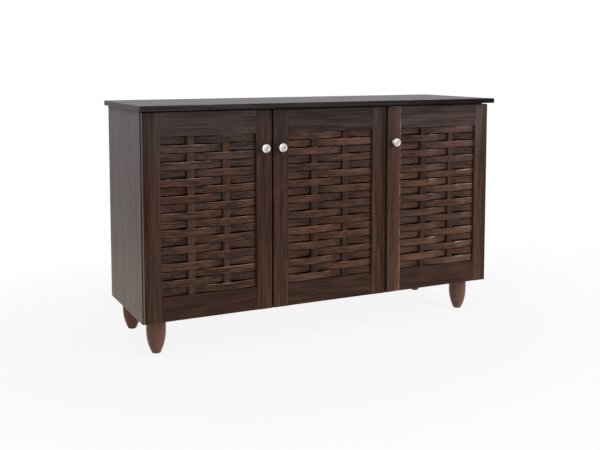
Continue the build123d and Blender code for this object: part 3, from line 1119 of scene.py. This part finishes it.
@dataclass
class Studio:
    """Pale floor, white surroundings, soft lights and the camera."""

    eye: Place = (-1.2220, -2.4514, 0.8249)
    yaw: float = 26.121
    pitch: float = 5.0
    lens: float = 52.104
    sensor: float = 36.0
    rise: float = 0.1437
    lamps: tuple[Lamp, ...] = (
        Lamp("key", (2.10, -3.00, 1.65), 1.5, 59.0),
        Lamp("fill", (-0.5, -1.1, 2.6), 1.6, 12.0),
        Lamp("edge", (1.7, -1.1, 1.5), 0.4, 4.0),
        Lamp("back", (-0.4, 3.2, 2.0), 1.6, 30.0),
    )
    lamp_aim: Place = (0.0, 0.0, 0.35)
    floor_size: float = 60.0
    floor_sink: float = 0.5 * MM
    paper: Colour = (0.90, 0.90, 0.90)
    shadow_shape: Place = (0.75, 1.0, 0.0)
    shadow_reach: Span = (0.45, 1.4)
    shadow_share: float = 0.12
    front_shine: Colour = (0.54, 0.54, 0.56)
    side_shine: Colour = WHITE
    near_shine: Colour = (0.84, 0.72, 0.65)
    mid_shine: Colour = (0.68, 0.59, 0.58)
    far_shine: Colour = (0.66, 0.61, 0.66)
    front_span: Span = (-0.4, 0.2)
    near_span: Span = (0.2, 2.4)
    far_span: Span = (2.4, 12.0)
    aside_span: Span = (0.6, 1.6)
    least_ahead: float = 0.1
    soft_light: float = 0.22
    sky_shine: Colour = (0.985, 0.985, 1.0)
    shine_light: float = 0.74
    shine_dark: float = 0.25
    dark_way: Place = (0.46, -0.88, -0.12)
    dark_span: Span = (0.78, 0.97)
    shine_bright: float = 0.7
    bright_way: Place = (-0.62, -0.45, 0.64)
    bright_span: Span = (0.86, 0.96)

    def build(self) -> None:
        """Sets up the whole studio."""
        scene = bpy.context.scene
        scene.view_settings.view_transform = "Standard"
        self.make_floor()
        self.make_world(scene)
        for lamp in self.lamps:
            self.hang(lamp, scene)
        self.make_camera(scene)
        LOG.info("studio with %d lamps", len(self.lamps))

    def make_floor(self) -> None:
        """Lays a pale floor that keeps the cabinet's shadow and fades to white further off."""
        bpy.ops.object.select_all(action="DESELECT")
        bpy.ops.mesh.primitive_plane_add(size=self.floor_size, location=(0.0, 0.0, -self.floor_sink))
        floor = bpy.context.active_object
        floor.name = "floor"
        settle(floor)
        material = bpy.data.materials.new("floor_paper")
        material.use_nodes = True
        graph = Graph(material.node_tree)
        place = graph.add("ShaderNodeTexCoord").outputs["Object"]
        away = graph.measure("LENGTH", graph.vector("MULTIPLY", place, self.shadow_shape))
        rays = graph.add("ShaderNodeLightPath").outputs
        lit = graph.ramp(away, self.shadow_reach, (1.0 - self.shadow_share, 1.0))
        shine = graph.math("MAXIMUM", rays["Is Glossy Ray"], rays["Is Transmission Ray"])
        share = graph.math("MAXIMUM", graph.math("MULTIPLY", rays["Is Camera Ray"], lit), shine)
        tint = graph.mix(rays["Is Camera Ray"], self.floor_shine(graph, place), WHITE)
        paper = graph.add("ShaderNodeBsdfDiffuse", {"Color": rgba(self.paper)}).outputs[0]
        white = graph.add("ShaderNodeEmission", {"Color": tint, "Strength": 1.0}).outputs[0]
        mixed = graph.add("ShaderNodeMixShader", {0: share, 1: paper, 2: white}).outputs[0]
        graph.add("ShaderNodeOutputMaterial", {"Surface": mixed})
        dress(floor, material)

    def floor_shine(self, graph: Graph, place: Any) -> Any:
        """Makes the floor's colour as it shows in what shines: dim ahead of the cabinet, warm behind it.

        Args:
            graph: the floor's graph.
            place: the socket of the place on the floor.

        Returns:
            The colour.
        """
        across, depth, _ = graph.split(place)
        behind = graph.mix(graph.ramp(depth, self.near_span), self.near_shine, self.mid_shine)
        behind = graph.mix(graph.ramp(depth, self.far_span), behind, self.far_shine)
        ahead = graph.math("MAXIMUM", graph.math("MULTIPLY", depth, -1.0), self.least_ahead)
        aside = graph.math("DIVIDE", graph.math("ABSOLUTE", across), ahead)
        front = graph.mix(graph.ramp(aside, self.aside_span), self.front_shine, self.side_shine)
        return graph.mix(graph.ramp(depth, self.front_span), front, behind)

    def make_world(self, scene: bpy.types.Scene) -> None:
        """Makes the white surroundings, with a dim and a bright place that show in what shines.

        Args:
            scene: the scene to light.
        """
        world = bpy.data.worlds.new("studio")
        world.use_nodes = True
        scene.world = world
        graph = Graph(world.node_tree)
        way = graph.add("ShaderNodeTexCoord").outputs["Generated"]
        dim = graph.measure("DOT_PRODUCT", way, self.dark_way)
        dim = graph.ramp(dim, self.dark_span, (self.shine_light, self.shine_dark))
        bright = graph.measure("DOT_PRODUCT", way, self.bright_way)
        bright = graph.ramp(bright, self.bright_span, (0.0, self.shine_bright))
        around = graph.math("ADD", dim, bright)
        rays = graph.add("ShaderNodeLightPath").outputs
        shine = graph.math("MAXIMUM", rays["Is Glossy Ray"], rays["Is Transmission Ray"])
        extra = graph.math("SUBTRACT", around, self.soft_light)
        level = graph.math("ADD", self.soft_light, graph.math("MULTIPLY", shine, extra))
        level = graph.math("MAXIMUM", level, rays["Is Camera Ray"])
        tint = graph.mix(shine, WHITE, self.sky_shine)
        sky = graph.add("ShaderNodeBackground", {"Color": tint, "Strength": level})
        graph.add("ShaderNodeOutputWorld", {"Surface": sky.outputs[0]})

    def hang(self, lamp: Lamp, scene: bpy.types.Scene) -> None:
        """Hangs a lamp that faces the cabinet and doesn't show in what shines.

        Args:
            lamp: the lamp.
            scene: the scene that it lights.
        """
        data = bpy.data.lights.new(lamp.name, "AREA")
        data.size = lamp.size
        data.energy = lamp.power
        light = bpy.data.objects.new(lamp.name, data)
        light.location = lamp.place
        aim = Vector(self.lamp_aim) - Vector(lamp.place)
        light.rotation_euler = aim.to_track_quat("-Z", "Y").to_euler()
        light.visible_glossy = False
        scene.collection.objects.link(light)

    def make_camera(self, scene: bpy.types.Scene) -> None:
        """Places the camera at the photograph's viewing angle.

        Args:
            scene: the scene that it serves.
        """
        data = bpy.data.cameras.new("camera")
        data.lens = self.lens
        data.sensor_width = self.sensor
        data.shift_y = -self.rise
        camera = bpy.data.objects.new("camera", data)
        camera.location = self.eye
        camera.rotation_euler = (math.radians(90.0 - self.pitch), 0.0, math.radians(-self.yaw))
        scene.collection.objects.link(camera)
        scene.camera = camera


def make_doors() -> tuple[Door, ...]:
    """Gives each door the finishes that set it apart.

    Returns:
        The three doors, from left to right.
    """
    left = Door(
        "left_door", "left_side_panel", 0, hinge_side=Side.LEFT,
        top_rail=replace(TOP_RAIL, tone=0.12),
        # Painted shade towards the hinge edge and painted reflection, cooler at the head.
        hinge_stile=replace(
            HINGE_STILE, painted_edge_shade=0.14, head_painted_light=(1.0, 1.36, 1.76), foot_painted_light=(1.06, 1.14, 1.08)
        ),
        # Painted highlight in grey on the top edges, less painted shade in the weave, painted light cooler at
        # the head.
        slat=replace(
            SLAT, contrast=1.4, painted_recess_shade=0.1, wear_and_highlight_tint=(3.6, 4.2, 5.0),
            head_painted_light=(0.86, 1.03, 1.32), foot_painted_light=(1.04, 1.05, 1.0),
        ),
    )
    middle = Door(
        "middle_door", "divider_panel", 1,
        top_rail=replace(TOP_RAIL, tone=-0.2),
        hinge_stile=replace(HINGE_STILE, tone=-0.10),
        # Painted shade: these uprights darker.
        upright=replace(UPRIGHT, tone=-0.25),
        # Painted light: the slats lighter towards the head and the foot.
        slat=replace(SLAT, head_painted_light=(1.14, 1.20, 1.36), foot_painted_light=(1.25, 1.25, 1.15)),
    )
    right = Door(
        "right_door", "right_side_panel", 2, knob_shaded_side=Side.LEFT,
        top_rail=replace(TOP_RAIL, tone=-0.02),
        # Painted shade towards the hinge edge and painted reflection, much cooler at the head.
        hinge_stile=replace(
            HINGE_STILE, painted_edge_shade=0.18, head_painted_light=(1.14, 1.60, 2.20), foot_painted_light=(1.05, 1.12, 1.02)
        ),
        # Painted highlight: a bright line along the knob stile's inner edge; the stile lighter overall as
        # painted light, with painted reflection at head and foot.
        knob_stile=replace(
            KNOB_STILE, tone=0.12, wear_and_highlight=1.0, wear_and_highlight_width=4.5 * MM, wear_and_highlight_tint=(4.0, 5.6, 7.2),
            head_painted_light=(1.02, 1.20, 1.42), foot_painted_light=(1.28, 1.30, 1.18),
        ),
        # Painted shade: these uprights darker.
        upright=replace(UPRIGHT, tone=-0.28),
        # Painted glints and sheen, near white, on the right flanks of the bends where the slats stand proud.
        slat=replace(
            SLAT, wear_and_highlight_tint=(4.2, 7.2, 9.8), head_painted_light=(0.95, 1.02, 1.20),
            proud_depth=(0.3, 0.42), sunk_highlight=0.0, painted_flank_glints=True,
        ),
    )
    return left, middle, right


def main() -> None:
    """Builds the cabinet's looks in order."""
    logging.basicConfig(level=logging.INFO, format="%(name)s: %(message)s")
    for effect in (WoodGrain(), EdgeWearAndHighlight(), SlatRows(), TurnedMetal()):
        LOG.info("group %s", effect.build().name)
    Carcass().build()
    doors = make_doors()
    for door in doors:
        door.build()
    Fasteners().build(doors)
    Studio().build()


if __name__ == "__main__":
    main()
